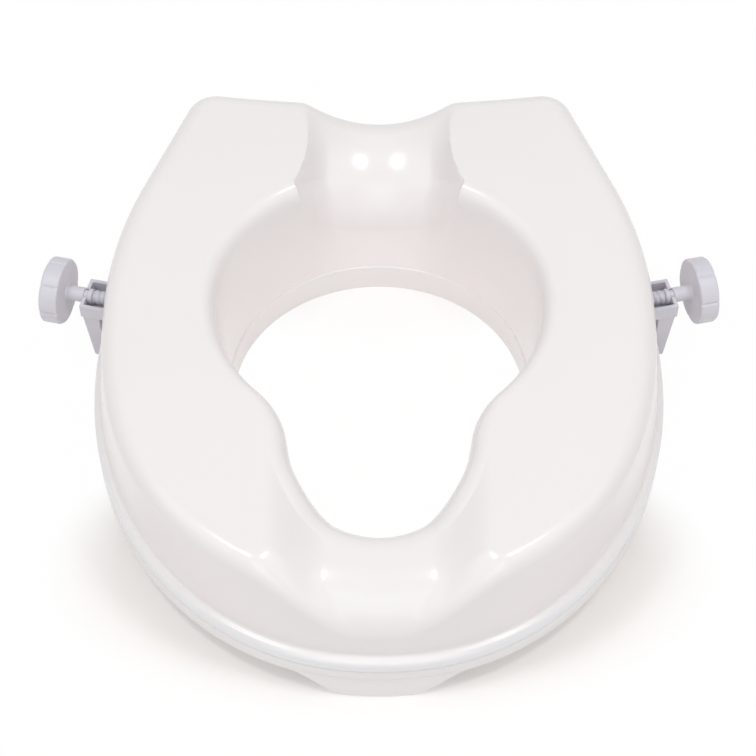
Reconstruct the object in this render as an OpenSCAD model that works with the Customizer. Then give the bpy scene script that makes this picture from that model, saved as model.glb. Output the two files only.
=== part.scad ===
// Raised toilet seat with two screw clamps that grip the rim of the bowl.
// Millimetres. +Z is up, +Y is to the rear, and the floor under the seat is z = 0.

/* [Seat shell] */
// Width over the bead at the foot of the seat
seat_w = 384; // [372:1:396]
// Depth from the front to the rear corners
seat_d = 433; // [424:1:446]
// Height that the seat adds above the rim of the bowl, at the rear
raise_h = 100; // [92:1:120]
// How much lower the top lies at the front
top_fall = 10; // [7:0.5:11]
// Thickness of the moulded wall
shell_t = 3; // [2.4:0.1:3.6]
// How far the wall leans in at the front
flare_front = 6.5; // [6.5:0.5:8]
// How far the wall leans in at the sides and the rear
flare_side = 12; // [10:0.5:14]
// Distance of the widest line behind the middle of the depth
wide_y = 16; // [8:1:24]
// Fullness of the front half of the outline, 2 being an ellipse
outline_full = 2.1; // [2:0.02:2.2]
// Radius of the bulged sides behind the widest line
side_r = 312; // [300:1:325]
// Angle of the straight rear sides
taper_a = 20; // [18:0.5:21]
// Radius of the rear corners at the bead
corner_r = 34; // [33:0.5:38]
// Slant of the rear edge towards the middle
rear_slant = 8; // [6:0.5:10]
// Width of the rounding of the outer top edge at the front
edge_front = 11.5; // [10:0.5:14]
// Width of the rounding of the outer top edge at the sides and the rear
edge_side = 16; // [13:0.5:18]
// Depth of the rounding of the outer top edge at the front
edge_drop_front = 14; // [12:0.5:16]
// Depth of the rounding of the outer top edge at the sides and the rear
edge_drop_side = 17; // [14:0.5:19]
// Fullness of that rounding, 2 being a plain quarter
edge_full = 2.1; // [2:0.05:2.4]
// Height of the bead at the foot of the wall
bead_h = 9; // [8:0.5:10]
// Rounding of the bead
bead_r = 4; // [3:0.5:4.5]
// Width of the ledge on top of the bead at the front
ledge_front = 6.5; // [5:0.5:6.5]
// Width of the ledge on top of the bead at the sides and the rear
ledge_side = 4.5; // [4.5:0.1:6]

/* [Aperture] */
// Width of the round main opening
aperture_w = 213; // [205:1:219]
// Middle of the main opening, behind the middle of the depth
aperture_y = 17; // [13:1:21]
// Width of the narrow front opening
lobe_w = 114; // [106:1:120]
// Middle of the front opening, ahead of the main opening
lobe_dist = 109; // [104:1:111]
// Radius of the necks between the two openings
neck_r = 60; // [50:1:70]
// Width of the rounded aperture edge
lip_a = 10; // [9:0.5:12]
// Depth of the rounded aperture edge
lip_b = 14; // [13:0.5:17]
// Fullness of the rounded aperture edge
lip_full = 0.7; // [0.6:0.05:0.9]
// How far the aperture wall leans in towards the foot, at the front and the sides
draft = 5; // [3:0.5:6]

/* [Front dip] */
// Depth of the front dip
front_dip = 24; // [21:1:26]
// Depth of the outer rounding in the front dip
front_drop = 29; // [26:1:30]
// Width of the outer rounding in the front dip
front_roll = 34; // [30:1:40]
// Fullness of the outer rounding in the front dip
front_full = 1.85; // [1.7:0.05:2]
// Width of the rounded aperture edge in the front dip
dip_edge_w = 18; // [14:0.5:20]
// Share of the dip's depth that is a bow across its whole width
front_bow = 0.5; // [0.3:0.05:0.6]
// Half width of the dip's floor beside the aperture
front_floor_w = 32; // [28:1:36]
// Half width of the dip's mouth beside the aperture
front_mouth_w = 67; // [62:1:70]
// Half width of the dip's floor ahead of the aperture
tip_floor_w = 32; // [28:1:36]
// Half width of the dip's mouth ahead of the aperture
tip_mouth_w = 65; // [60:1:68]
// Half width of the dip's floor at the front wall
wall_floor_w = 12; // [8:1:16]
// Half width of the dip's mouth at the front wall
wall_mouth_w = 80; // [74:1:86]

/* [Rear dip] */
// Depth of the rear dip at the rear edge
rear_dip = 23; // [18:1:26]
// Depth by which the rear edge itself is drawn down
rear_edge_drop = 14; // [12:1:16]
// How much deeper the rear dip is at the aperture
rear_fall = 17; // [14:0.5:20]
// How far the aperture wall leans back under the rear dip
chute_lean = 6; // [4:0.5:8]
// Width of the rounded aperture edge in the rear dip
chute_edge_w = 16; // [12:0.5:18]
// Half width of the rear dip
rear_dip_w = 52; // [48:1:56]
// Half width of the chute's floor at the rear
rear_floor_w = 30; // [26:1:34]
// Half width of the chute's mouth at the rear
rear_mouth_w = 52; // [46:1:56]
// Half width of the chute's floor at the aperture
chute_floor_w = 32; // [28:1:36]
// Half width of the chute's mouth at the aperture
chute_mouth_w = 62; // [56:1:66]

/* [Base ring] */
// Depth of the skirt and the front lip below the bearing face
skirt_drop = 16; // [12:1:20]
// Height of the outer band
band_h = 11; // [10:0.5:14]
// Thickness of the outer band
band_t = 6; // [5:0.5:7.5]
// Thickness of the floor that rests on the bowl
floor_t = 3; // [2.5:0.1:4]
// Thickness of the skirt
skirt_t = 4; // [3.5:0.1:5]
// Height of the skirt above the bearing face
skirt_up = 6; // [5:0.5:8]
// Step from the aperture wall in to the skirt
skirt_step = 1; // [0.5:0.1:1.5]
// Half width of the full depth part of the front lip
front_lip_in = 20; // [12:1:26]
// Half width of the front lip at its root
front_lip_out = 56; // [48:1:64]
// Thickness of the front lip
front_lip_t = 9; // [7:0.5:12]
// How far the front lip stands out from the band
front_lip_proud = 1.5; // [0:0.1:2.5]

/* [Clamp] */
// Angle of the clamp screws behind the square direction
clamp_a = 13; // [9:0.5:15]
// Distance of the bracket's outer face from the clamp centre
clamp_reach = 208; // [206:0.5:211]
// Middle of the two clamp lines, behind the middle of the depth
clamp_y = 21; // [18:1:24]
// Travel of each bracket
travel = 20; // [12:1:20]
// Width of the bracket
bracket_w = 26; // [24:0.5:27]
// Height of the bracket's channel
bracket_h = 11; // [10:0.5:12]
// Wall of the bracket's channel
bracket_t = 2.5; // [2:0.1:2.6]
// Length of the bracket's guide arms
arm_l = 62; // [58:1:66]
// Length of the channel floor
channel_l = 24; // [18:1:26]
// Thickness of the leg at its top
leg_t = 12; // [10:0.5:13]
// Thickness of the leg at its tip
leg_tip_t = 8; // [6:0.5:10]
// Step from the channel in to the leg
leg_step = 1; // [0.5:0.1:1.5]
// Thickness of the rubber jaw pad
pad_t = 3; // [2:0.1:3.5]
// Height of the rubber jaw pad
pad_h = 13; // [9:0.5:14]
// Outer diameter of the thread
thread_d = 9.6; // [9:0.1:10]
// Diameter of the smooth shank
shank_d = 10.5; // [10:0.1:11]
// Diameter of the neck that hangs in the bracket
neck_d = 7.5; // [6.5:0.1:8]
// Length of the shank between bracket and knob
shank_l = 13; // [11:0.5:16]
// Height of the bracket's rim above the screw line
rim_rise = 3; // [2:0.1:3.4]
// Diameter of the knob
knob_d = 46; // [40:0.5:50]
// Thickness of the knob
knob_t = 13; // [11:0.5:15]
// Number of grip flutes on the knob
knob_flutes = 7; // [5:1:9]
// Width of the nut block
nut_w = 18; // [16:0.5:18]
// Length of the nut block along the screw
nut_l = 14; // [12:0.5:15]
// Height of the nut's foot in the guide
nut_foot = 5; // [4:0.5:7]
// Thickness of the guide's cheeks
cheek_t = 5; // [4:0.5:6]

/* [Fits] */
// Running clearance round the screw
screw_fit = 0.05; // [0.03:0.01:0.08]
// Clearance between sliding flat faces
slide_fit = 0.3; // [0.3:0.05:0.5]
// Clearance of the bracket in the seat's openings
slot_fit = 0.8; // [0.6:0.1:1.2]

/* [Hidden] */
$fn = 64;
seat_white = [0.95, 0.94, 0.93];
clamp_grey = [0.76, 0.75, 0.79];

bearing_z = skirt_drop;
top_z = bearing_z + raise_h;
seam_z = bearing_z + band_h;
bead_z = seam_z + bead_h;
skirt_z = bearing_z + skirt_up;
plate_z = bearing_z + floor_t;
lobe_y = aperture_y - lobe_dist;

// Clamp heights and stations, outward along the screw from the clamp centre
rim_z = 51.5;
screw_z = rim_z - rim_rise;
channel_z = rim_z - bracket_h;
arm_in = clamp_reach - arm_l;
leg_out = clamp_reach - leg_step;
leg_in = leg_out - leg_t;
pad_z = 2;
pad_w = 18;
knob_in = clamp_reach + shank_l;
spigot_d = 8;
spigot_l = 8;
collar_l = 2.2;
neck_play = 0.1;
nut_in = arm_in - 1;
nut_out = nut_in + nut_l;
nut_z = screw_z + thread_d;
screw_in = nut_in - 3;
guide_in = nut_in - 15;
guide_top = channel_z - slide_fit;
jaw_room = 8;
guide_out = leg_in - pad_t - travel - jaw_room;
cheek_out = 181;
cheek_in = bracket_w / 2 + slide_fit;
slot_half = bracket_w / 2 + slot_fit;
slot_in = guide_out + 2;
window_in = 172;
window_top = screw_z + shank_d / 2 + 2.5;
beyond = 260;

// Pairs of stations that the ribs of the shell join: round the outside, round the aperture
rib_pairs = [[0, 0], [0.13, 0.36], [0.255, 0.8], [0.56, 1.35], [1, 2.33], [2, 2.52], [3, 2.66], [4, 2.72],
             [4.47, 2.747], [5, 3]];
// Stations over which the turn from one pairing to the next is spread
pair_reach = 0.1;
// Runs of stations round the outside, each with its number of ribs
rib_runs = [[0, 0.36, 13], [0.36, 1, 9], [1, 2, 5], [2, 3, 2], [3, 4, 7],
            [4, 4.5, 5], [4.5, 4.72, 6], [4.72, 5, 5]];
stations = concat([for (r = rib_runs) for (i = [0:r[2] - 1]) mix(r[0], r[1], i / r[2])], [5]);

// Distance in from the front wall over which the front dip narrows to its inner widths
front_flare_run = 20;
// Line from which the front dip narrows towards the front, and the length over which it does
front_narrow_y = -140;
front_narrow_run = 45;
// Half widths of the floor and the mouth of the front dip along the aperture edge
front_rim_floor = 26;
front_rim_mouth = 58;
// Share of the rear chute's fall that comes late, and how far its section turns from bowed to square
rear_bend = 0.7;
rear_square = 0.5;
// Half widths between which the aperture edge changes from the chute's to that of the seat
chute_edge_from = 34;
chute_edge_to = 60;
// Softness of the dips' outer corners
dip_soft = 0.1;

function unit2(v) = v / norm(v);
function ease(t) = let (c = min(1, max(0, t))) c * c * (3 - 2 * c);
function mix(a, b, t) = a + (b - a) * t;
function steps(n) = [for (k = [1:n]) k / n];
// Rises from 0, straight up at first, to 1 where it ends level
function round_rise(t, full) = (1 - (1 - min(1, max(0, t))) ^ full) ^ (1 / full);
// Point of a rounding from a to c that heads for the corner b
function conic(a, b, c, full, t) =
    let (i = (1 - t) ^ 2, j = 2 * full * t * (1 - t), k = t * t) (i * a + j * b + k * c) / (i + j + k);

// Outline of the seat at the bead, right half, station 0 at the front to 5 at the rear.
// Gives the point, its outward normal and the lean of the wall there.
half_w = seat_w / 2;
front_l = wide_y + seat_d / 2;
taper_n = [cos(taper_a), sin(taper_a)];
side_end = [half_w - side_r + side_r * cos(taper_a), wide_y + side_r * sin(taper_a)];
corner_y = seat_d / 2 - corner_r;
corner_x = (side_end * taper_n - corner_r - corner_y * sin(taper_a)) / cos(taper_a);
corner_c = [corner_x, corner_y];
taper_end = corner_c + corner_r * taper_n;
rear_start = corner_c + corner_r * [-sin(rear_slant), cos(rear_slant)];

// 0 round the front, 1 from the sides on
function side_share(q) = q < 1 ? ease(2 * q - 1) : 1;
function outline_at(q) =
    q < 1 ? let (k = outline_full - 1,
                 u = sin(90 * q) ^ (2 / outline_full),
                 v = cos(90 * q) ^ (2 / outline_full))
        [[half_w * u, wide_y - front_l * v],
         unit2([u ^ k / half_w, -(v ^ k) / front_l]),
         mix(flare_front, flare_side, side_share(q))] :
    q < 2 ? let (a = taper_a * (q - 1))
        [[half_w - side_r + side_r * cos(a), wide_y + side_r * sin(a)], [cos(a), sin(a)], flare_side] :
    q < 3 ? [mix(side_end, taper_end, q - 2), taper_n, flare_side] :
    q < 4 ? let (a = mix(taper_a, 90 + rear_slant, q - 3))
        [corner_c + corner_r * [cos(a), sin(a)], [cos(a), sin(a)], flare_side] :
    let (f = 5 - q)
        [[rear_start[0] * f, rear_start[1] - tan(rear_slant) * rear_start[0] / 2 * (1 - f * f)],
         unit2([-tan(rear_slant) * f, 1]), flare_side];

// Outline of the aperture, right half, station 0 at the front to 3 at the rear
main_r = aperture_w / 2;
lobe_r = lobe_w / 2;
main_reach = main_r + neck_r;
lobe_reach = lobe_r + neck_r;
neck_drop = (main_reach ^ 2 - lobe_reach ^ 2 + lobe_dist ^ 2) / (2 * lobe_dist);
neck_c = [sqrt(main_reach ^ 2 - neck_drop ^ 2), aperture_y - neck_drop];
lobe_a = atan2(neck_c[1] - lobe_y, neck_c[0]);
main_a = atan2(neck_c[1] - aperture_y, neck_c[0]);

function aperture_at(s) =
    s < 1 ? let (a = mix(-90, lobe_a, s), n = [cos(a), sin(a)]) [[0, lobe_y] + lobe_r * n, n] :
    s < 2 ? let (a = mix(lobe_a, main_a, s - 1), n = [cos(a), sin(a)]) [neck_c - neck_r * n, n] :
    let (a = mix(main_a, 90, s - 2), n = [cos(a), sin(a)]) [[0, aperture_y] + main_r * n, n];

// Station of the aperture that the rib at an outer station runs to
function pair_at(q) =
    q < 0 ? -lookup(-q, rib_pairs) : q > 5 ? 6 - lookup(10 - q, rib_pairs) : lookup(q, rib_pairs);
function paired(q) =
    let (near = [for (k = [-1:1 / 6:1.01]) pair_at(q + pair_reach * k)])
    min(3, max(0, near * [for (v = near) 1 / len(near)]));

function mirrored(half) =
    concat(half, [for (i = [len(half) - 2:-1:1]) [-half[i][0], half[i][1]]]);
function outline(grow) = mirrored([for (q = stations) let (o = outline_at(q)) o[0] + grow * o[1]]);
function aperture(grow) =
    mirrored([for (q = stations) let (a = aperture_at(paired(q))) a[0] + grow * a[1]]);

// The top falls a little towards the front
function sloped_top(p) = top_z - top_fall * (0.5 - p[1] / seat_d);

// A bow's depth, rounded where it runs out
function soft_bow(bow) =
    max(0, (bow + sqrt(bow * bow + dip_soft ^ 2)) / 2 - dip_soft ^ 2 / 4 * (1 - ease(bow)));

// Share of the front dip's depth at a point, inside being its distance in from the front wall
function front_share(p, inside) = p[1] > 0 ? 0 :
    let (ahead = ease((front_narrow_y - p[1]) / front_narrow_run), near = ease(inside / front_flare_run),
         floor_w = mix(wall_floor_w, mix(front_floor_w, tip_floor_w, ahead), near),
         mouth_w = mix(wall_mouth_w, mix(front_mouth_w, tip_mouth_w, ahead), near))
    mix(1 - ease((abs(p[0]) - floor_w) / (mouth_w - floor_w)),
        soft_bow(1 - (p[0] / mouth_w) ^ 2), front_bow * near);

// Share of the rear dip's depth across the rear
function rear_bow(p) = soft_bow(1 - (p[0] / rear_dip_w) ^ 2);

// 1 on the floor of the rear chute, 0 outside its side walls
function rear_walls(f, p) =
    let (floor_w = mix(rear_floor_w, chute_floor_w, f ^ 3), mouth_w = mix(rear_mouth_w, chute_mouth_w, f ^ 3))
    1 - ease((abs(p[0]) - floor_w) / (mouth_w - floor_w));

// Depth of the rear dip at a point, f from the rear edge to the aperture
function rear_depth(f, p) =
    let (walls = rear_walls(f, p))
    rear_dip * mix(rear_bow(p), walls, rear_square * f) + rear_fall * mix(f, f * f, rear_bend) * walls;

// Height of the top at a point of the rib at station q, inside being its distance in from the wall's head
function top_at(q, p, inside, f) =
    let (share = side_share(q),
         rise = 1 - round_rise(inside / mix(edge_front, edge_side, share), edge_full),
         level = sloped_top(p), flat = level - mix(edge_drop_front, edge_drop_side, share) * rise)
    q < 1 ? mix(flat, level - front_dip - front_drop * (1 - round_rise(inside / front_roll, front_full)),
                front_share(p, inside)) :
    q > 4 ? flat - rear_depth(f, p) + (rear_dip - rear_edge_drop) * rear_bow(outline_at(q)[0]) * rise :
    flat;

// One rib of the shell, from the foot of the outer wall over the top to the foot of the aperture wall.
// The skin is the depth below the outer surface, so 0 draws the outside and shell_t the inside.
function rib(q, skin) =
    let (o = outline_at(q), p = o[0], n = o[1], lean = o[2],
         a = aperture_at(paired(q)), m = a[1], foot_c = a[0] - m * draft,
         chute = q < 4 ? 0 : 1 - ease((a[0][0] - chute_edge_from) / (chute_edge_to - chute_edge_from)),
         c = a[0] + m * mix(-draft * max(0, m[1]) ^ 2, chute_lean, chute),
         edge = mix(edge_front, edge_side, side_share(q)),
         ledge = min(lean, mix(ledge_front, ledge_side, side_share(q))),
         lip_w = q < 1 ? mix(lip_a, dip_edge_w, front_share(c, 2 * edge)) : mix(lip_a, chute_edge_w, chute),
         rim_o = p - n * (lean + edge), rim_i = c + m * lip_w, inward = (rim_o - rim_i) * n,
         z_wall = top_at(q, p - n * lean, 0, 0),
         z_i = top_at(q, rim_i, edge + inward, 1),
         late = 0.98,
         z_late = top_at(q, mix(rim_o, rim_i, late), edge + inward * late, late),
         lip_slope = max(0, z_late - z_i) / ((1 - late) * norm(rim_o - rim_i)),
         rim_dip = c[1] < 0 ? 1 - ease((c[0] - front_rim_floor) / (front_rim_mouth - front_rim_floor)) : 0,
         lip_foot = (q < 1 ? sloped_top(c) - front_dip * rim_dip : z_i - lip_w * lip_slope) - lip_b,
         lip_corner = max(z_i - lip_w * lip_slope, lip_foot + 1),
         foot = skin == 0 ?
            concat([[p, seam_z], [p, bead_z - bead_r]],
                   [for (f = steps(3))
                       [p - n * bead_r * (1 - cos(90 * f)), bead_z - bead_r * (1 - sin(90 * f))]],
                   [[p - n * ledge, bead_z]]) :
            [[p - n * (ledge + skin), seam_z], [p - n * (ledge + skin), bead_z]],
         wall = [for (f = steps(skin == 0 ? 2 : 1))
            [p - n * (mix(ledge, lean, f) + skin), mix(bead_z, z_wall, f)]],
         shoulder = [for (f = steps(skin == 0 ? 5 : 3))
            let (inside = edge * (1 - cos(90 * f)),
                 thin = skin * round_rise(inside / edge, edge_full),
                 z = top_at(q, p - n * (lean + inside), inside, 0))
            [p - n * (lean + skin + inside * (1 - skin / edge)), z - thin]],
         top = [for (f = steps(skin == 0 ? 7 : 6))
            let (spot = mix(rim_o, rim_i, f)) [spot, top_at(q, spot, edge + inward * f, f) - skin]],
         lip = [for (f = steps(skin == 0 ? 5 : 3))
            let (e = conic([lip_w, z_i - skin], [skin, lip_corner - skin], [skin, lip_foot], lip_full, f))
            [c + m * e[0], e[1]]],
         inside = [[foot_c + m * skin, skirt_z]])
    [for (e = concat(foot, wall, shoulder, top, lip, inside)) [e[0][0], e[0][1], e[1]]];
function reversed(list) = [for (i = [len(list) - 1:-1:0]) list[i]];
function section(q) = concat(rib(q, 0), reversed(rib(q, shell_t)));
function flipped(points) = [for (v = points) [-v[0], v[1], v[2]]];

// The closed skin of the shell
module shell_skin() {
    half = [for (q = stations) section(q)];
    ring = concat(half, [for (i = [len(half) - 2:-1:1]) flipped(half[i])]);
    n = len(ring);
    m = len(ring[0]);
    points = [for (r = ring) for (v = r) v];
    faces = [for (i = [0:n - 1]) for (j = [0:m - 1])
        let (a = i * m + j, b = ((i + 1) % n) * m + j,
             c = ((i + 1) % n) * m + (j + 1) % m, d = i * m + (j + 1) % m)
        each [[a, c, b], [a, d, c]]];
    polyhedron(points, faces, convexity = 8);
}

// A plate between the outline and the aperture, grown by the amounts given
module annulus(z, h, outer, inner) {
    translate([0, 0, z])
        linear_extrude(h)
            difference() {
                polygon(outline(outer));
                polygon(aperture(inner));
            }
}

// Puts a right-hand clamp piece on its screw line, or its mirror image on the left
module on_side(side) {
    mirror([side == "left" ? 1 : 0, 0, 0])
        translate([0, clamp_y, 0])
            rotate([0, 0, clamp_a])
                children();
}

module both_sides() {
    on_side("left") children();
    on_side("right") children();
}

// A block from x0 to x1 and z0 to z1, centred across the screw line
module bar(x0, x1, w, z0, z1) {
    translate([x0, -w / 2, z0])
        cube([x1 - x0, w, z1 - z0]);
}

// A round bar along the screw line
module rod(x0, x1, d, z) {
    translate([x0, 0, z])
        rotate([0, 90, 0])
            cylinder(h = x1 - x0, d = d);
}

module seat_shell() {
    color(seat_white)
        difference() {
            shell_skin();
            both_sides() bar(window_in, beyond, 2 * slot_half, bearing_z, window_top);
        }
}

// The lip hangs under the band at the front and fades into it at both ends
module front_lip() {
    fade = [for (f = [0:0.125:1]) [mix(front_lip_in, front_lip_out, f), bearing_z * ease(f)]];
    edge = concat([for (v = reversed(fade)) [-v[0], v[1]]], fade);
    intersection() {
        rotate([90, 0, 0])
            linear_extrude(beyond)
                polygon(edge);
        linear_extrude(bearing_z)
            difference() {
                polygon(outline(front_lip_proud));
                polygon(outline(front_lip_proud - front_lip_t));
            }
    }
}

module base_ring() {
    skirt_in = -draft - skirt_step;
    color(seat_white)
        difference() {
            union() {
                annulus(bearing_z, floor_t, 0, skirt_in);
                translate([0, 0, bearing_z])
                    linear_extrude(band_h)
                        difference() {
                            polygon(outline(0));
                            polygon(outline(-band_t));
                        }
                linear_extrude(skirt_z)
                    difference() {
                        polygon(aperture(skirt_in + skirt_t));
                        polygon(aperture(skirt_in));
                    }
                front_lip();
            }
            both_sides() bar(slot_in, beyond, 2 * slot_half, -1, seam_z + 1);
        }
}

// The guide stands on the floor of the seat: a table under the arms, two cheeks and a pocket for the nut
module guide(side) {
    outer_w = 2 * (cheek_in + cheek_t);
    color(seat_white)
        on_side(side)
            difference() {
                bar(guide_in, cheek_out, outer_w, plate_z, rim_z);
                bar(guide_in - 1, cheek_out + 1, 2 * cheek_in, guide_top, rim_z + 1);
                bar(guide_out, cheek_out + 1, 2 * cheek_in, plate_z - 1, rim_z);
                bar(nut_in, nut_out, nut_w, guide_top - nut_foot, rim_z);
            }
}

module nut(side) {
    color("silver")
        on_side(side)
            difference() {
                bar(nut_in, nut_out, nut_w, guide_top - nut_foot, nut_z);
                rod(nut_in - 1, nut_out + 1, thread_d + 2 * screw_fit, screw_z);
            }
}

// Side view of the leg: upright inner face, slanting outer face and a rounded tip
module leg_profile() {
    tip_r = 1.8;
    hull() {
        translate([leg_in, channel_z - 1])
            square([leg_t, 1 + bracket_t]);
        for (x = [tip_r, leg_tip_t - tip_r])
            translate([leg_in + x, tip_r])
                circle(tip_r);
    }
}

module bracket(side) {
    end_in = clamp_reach - bracket_t;
    color(clamp_grey)
        on_side(side)
            difference() {
                union() {
                    difference() {
                        bar(arm_in, clamp_reach, bracket_w, channel_z, rim_z);
                        bar(arm_in - 1, end_in, bracket_w - 2 * bracket_t, channel_z + bracket_t, rim_z + 1);
                        bar(arm_in - 1, clamp_reach - channel_l, bracket_w - 2 * bracket_t,
                            channel_z - 1, rim_z);
                    }
                    translate([0, bracket_w / 2 - leg_step, 0])
                        rotate([90, 0, 0])
                            linear_extrude(bracket_w - 2 * leg_step)
                                leg_profile();
                }
                rod(end_in - 1, clamp_reach + 1, neck_d + 2 * screw_fit, screw_z);
                bar(end_in - 1, clamp_reach + 1, neck_d + 2 * screw_fit, screw_z, rim_z + 1);
            }
}

// The pad has grip grooves across its face
module jaw_pad(side) {
    grooves = 3;
    groove_w = 1.2;
    pitch = pad_h / (grooves + 1);
    color([0.35, 0.35, 0.37])
        on_side(side)
            difference() {
                bar(leg_in - pad_t, leg_in, pad_w, pad_z, pad_z + pad_h);
                for (i = [1:grooves])
                    bar(leg_in - pad_t - 1, leg_in - pad_t + groove_w / 2, pad_w + 1,
                        pad_z + i * pitch - groove_w / 2, pad_z + i * pitch + groove_w / 2);
            }
}

module screw(side) {
    neck_in = clamp_reach - bracket_t - neck_play;
    neck_out = clamp_reach + neck_play;
    color(clamp_grey)
        on_side(side) {
            rod(screw_in, neck_in - collar_l, thread_d, screw_z);
            rod(neck_in - collar_l, neck_in, shank_d, screw_z);
            rod(neck_in, neck_out, neck_d, screw_z);
            rod(neck_out, knob_in, shank_d, screw_z);
            rod(knob_in, knob_in + spigot_l, spigot_d, screw_z);
        }
}

module knob(side) {
    flute_r = 1.1;
    color(clamp_grey)
        on_side(side)
            difference() {
                rod(knob_in, knob_in + knob_t, knob_d, screw_z);
                rod(knob_in - 1, knob_in + spigot_l, spigot_d, screw_z);
                for (i = [0:knob_flutes - 1])
                    translate([0, 0, screw_z])
                        rotate([360 * i / knob_flutes, 0, 0])
                            rod(knob_in - 1, knob_in + knob_t + 1, 2 * flute_r, knob_d / 2);
            }
}

seat_shell();
base_ring();
guide("left");  // left_guide
guide("right");  // right_guide
nut("left");  // left_nut
nut("right");  // right_nut
bracket("left");  // left_bracket
bracket("right");  // right_bracket
jaw_pad("left");  // left_jaw_pad
jaw_pad("right");  // right_jaw_pad
screw("left");  // left_screw
screw("right");  // right_screw
knob("left");  // left_knob
knob("right");  // right_knob
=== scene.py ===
import math

import bmesh
import bpy
from mathutils import Matrix, Vector


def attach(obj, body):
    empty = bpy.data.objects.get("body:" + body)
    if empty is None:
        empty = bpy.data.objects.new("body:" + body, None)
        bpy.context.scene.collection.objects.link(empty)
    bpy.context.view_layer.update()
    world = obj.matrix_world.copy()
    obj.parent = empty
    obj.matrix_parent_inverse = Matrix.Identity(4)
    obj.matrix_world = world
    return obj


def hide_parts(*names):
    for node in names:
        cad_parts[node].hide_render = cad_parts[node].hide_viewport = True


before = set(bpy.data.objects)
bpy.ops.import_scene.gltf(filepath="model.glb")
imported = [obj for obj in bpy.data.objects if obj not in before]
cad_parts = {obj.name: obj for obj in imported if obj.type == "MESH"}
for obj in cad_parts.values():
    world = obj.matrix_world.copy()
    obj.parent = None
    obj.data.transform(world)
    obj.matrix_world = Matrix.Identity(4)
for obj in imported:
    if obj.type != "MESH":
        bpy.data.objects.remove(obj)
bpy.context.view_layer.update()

mm = 0.001
print("seat frame loaded")


# steps between shader nodes

def linkNoise(tree, scale, detail):
    coords = tree.nodes.new("ShaderNodeTexCoord")
    noise = tree.nodes.new("ShaderNodeTexNoise")
    noise.inputs["Scale"].default_value = scale
    noise.inputs["Detail"].default_value = detail
    tree.links.new(coords.outputs["Object"], noise.inputs["Vector"])
    return noise.outputs["Fac"]


def linkMath(tree, operation, first, second):
    step = tree.nodes.new("ShaderNodeMath")
    step.operation = operation
    tree.links.new(first, step.inputs[0])
    tree.links.new(second, step.inputs[1])
    return step.outputs[0]


def linkVector(tree, operation, source, value=None):  # value is the same for every point
    step = tree.nodes.new("ShaderNodeVectorMath")
    step.operation = operation
    tree.links.new(source, step.inputs[0])
    if value:
        step.inputs[1].default_value = value
    return step


# noise lies mostly between 0.1 and 0.9
def linkRange(tree, source, low, high, lowest=0.1, highest=0.9, curve="LINEAR"):
    spread = tree.nodes.new("ShaderNodeMapRange")
    spread.interpolation_type = curve
    spread.inputs["From Min"].default_value = lowest
    spread.inputs["From Max"].default_value = highest
    spread.inputs["To Min"].default_value = low
    spread.inputs["To Max"].default_value = high
    tree.links.new(source, spread.inputs["Value"])
    return spread.outputs["Result"]


def linkShaders(tree, share, first, second, output):  # share of the second shader over the first
    blend = tree.nodes.new("ShaderNodeMixShader")
    tree.links.new(share, blend.inputs[0])
    tree.links.new(first.outputs[0], blend.inputs[1])
    tree.links.new(second.outputs[0], blend.inputs[2])
    tree.links.new(blend.outputs[0], tree.nodes[output].inputs["Surface"])


# finishes

plasticFinish = {
    "seat": {"colour": (0.937, 0.893, 0.887), "colourDeep": (0.917, 0.87, 0.863), "ior": 1.5,
             # the bead's colour is a painted reflection of cool light
             "beadSheenColour": (0.90, 0.90, 0.912), "beadTop": (0.0335, 0.036), "beadReach": (0.15, 0.165),
             "cloudScale": 9.0, "polishScale": 24.0, "gloss": (0.17, 0.24),
             "grainScale": 420.0, "grainStrength": 0.06, "grainDepth": 0.0004},
    "base": {"colour": (0.91, 0.885, 0.88), "colourDeep": (0.885, 0.857, 0.85), "ior": 1.5,
             "cloudScale": 12.0, "polishScale": 30.0, "gloss": (0.26, 0.36),
             "grainScale": 520.0, "grainStrength": 0.03, "grainDepth": 0.0004},
    "clamp": {"colour": (0.72, 0.70, 0.755), "colourDeep": (0.68, 0.66, 0.715), "ior": 1.48,
              "cloudScale": 40.0, "polishScale": 70.0, "gloss": (0.34, 0.46),
              "grainScale": 1400.0, "grainStrength": 0.12, "grainDepth": 0.0003},
    "rubber": {"colour": (0.075, 0.075, 0.08), "colourDeep": (0.045, 0.045, 0.05), "ior": 1.45,
               "cloudScale": 90.0, "polishScale": 200.0, "gloss": (0.72, 0.9),
               "grainScale": 2200.0, "grainStrength": 0.35, "grainDepth": 0.0003},
    "steel": {"colour": (0.56, 0.57, 0.59), "colourDeep": (0.46, 0.47, 0.49), "ior": 1.5, "metal": 1.0,
              "cloudScale": 60.0, "polishScale": 300.0, "gloss": (0.22, 0.42),
              "grainScale": 900.0, "grainStrength": 0.1, "grainDepth": 0.0002},
}
noiseDetail = {"cloud": 3.0, "polish": 4.0, "grain": 5.0}


def paintedBeadSheen(tree, colour, finish):  # painted reflection: the bead round the foot of the wall gets a bluer white that stands in for the cool light it reflects
    coords = tree.nodes.new("ShaderNodeTexCoord")
    apart = tree.nodes.new("ShaderNodeSeparateXYZ")
    tree.links.new(coords.outputs["Object"], apart.inputs[0])
    away = linkVector(tree, "LENGTH", coords.outputs["Object"])
    lowDown = linkRange(tree, apart.outputs["Z"], 1, 0, *finish["beadTop"])
    outside = linkRange(tree, away.outputs["Value"], 0, 1, *finish["beadReach"])
    cool = tree.nodes.new("ShaderNodeMix")
    cool.data_type = "RGBA"
    tree.links.new(colour, cool.inputs["A"])
    cool.inputs["B"].default_value = (*finish["beadSheenColour"], 1)
    tree.links.new(linkMath(tree, "MULTIPLY", lowDown, outside), cool.inputs["Factor"])
    return cool.outputs["Result"]


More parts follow.
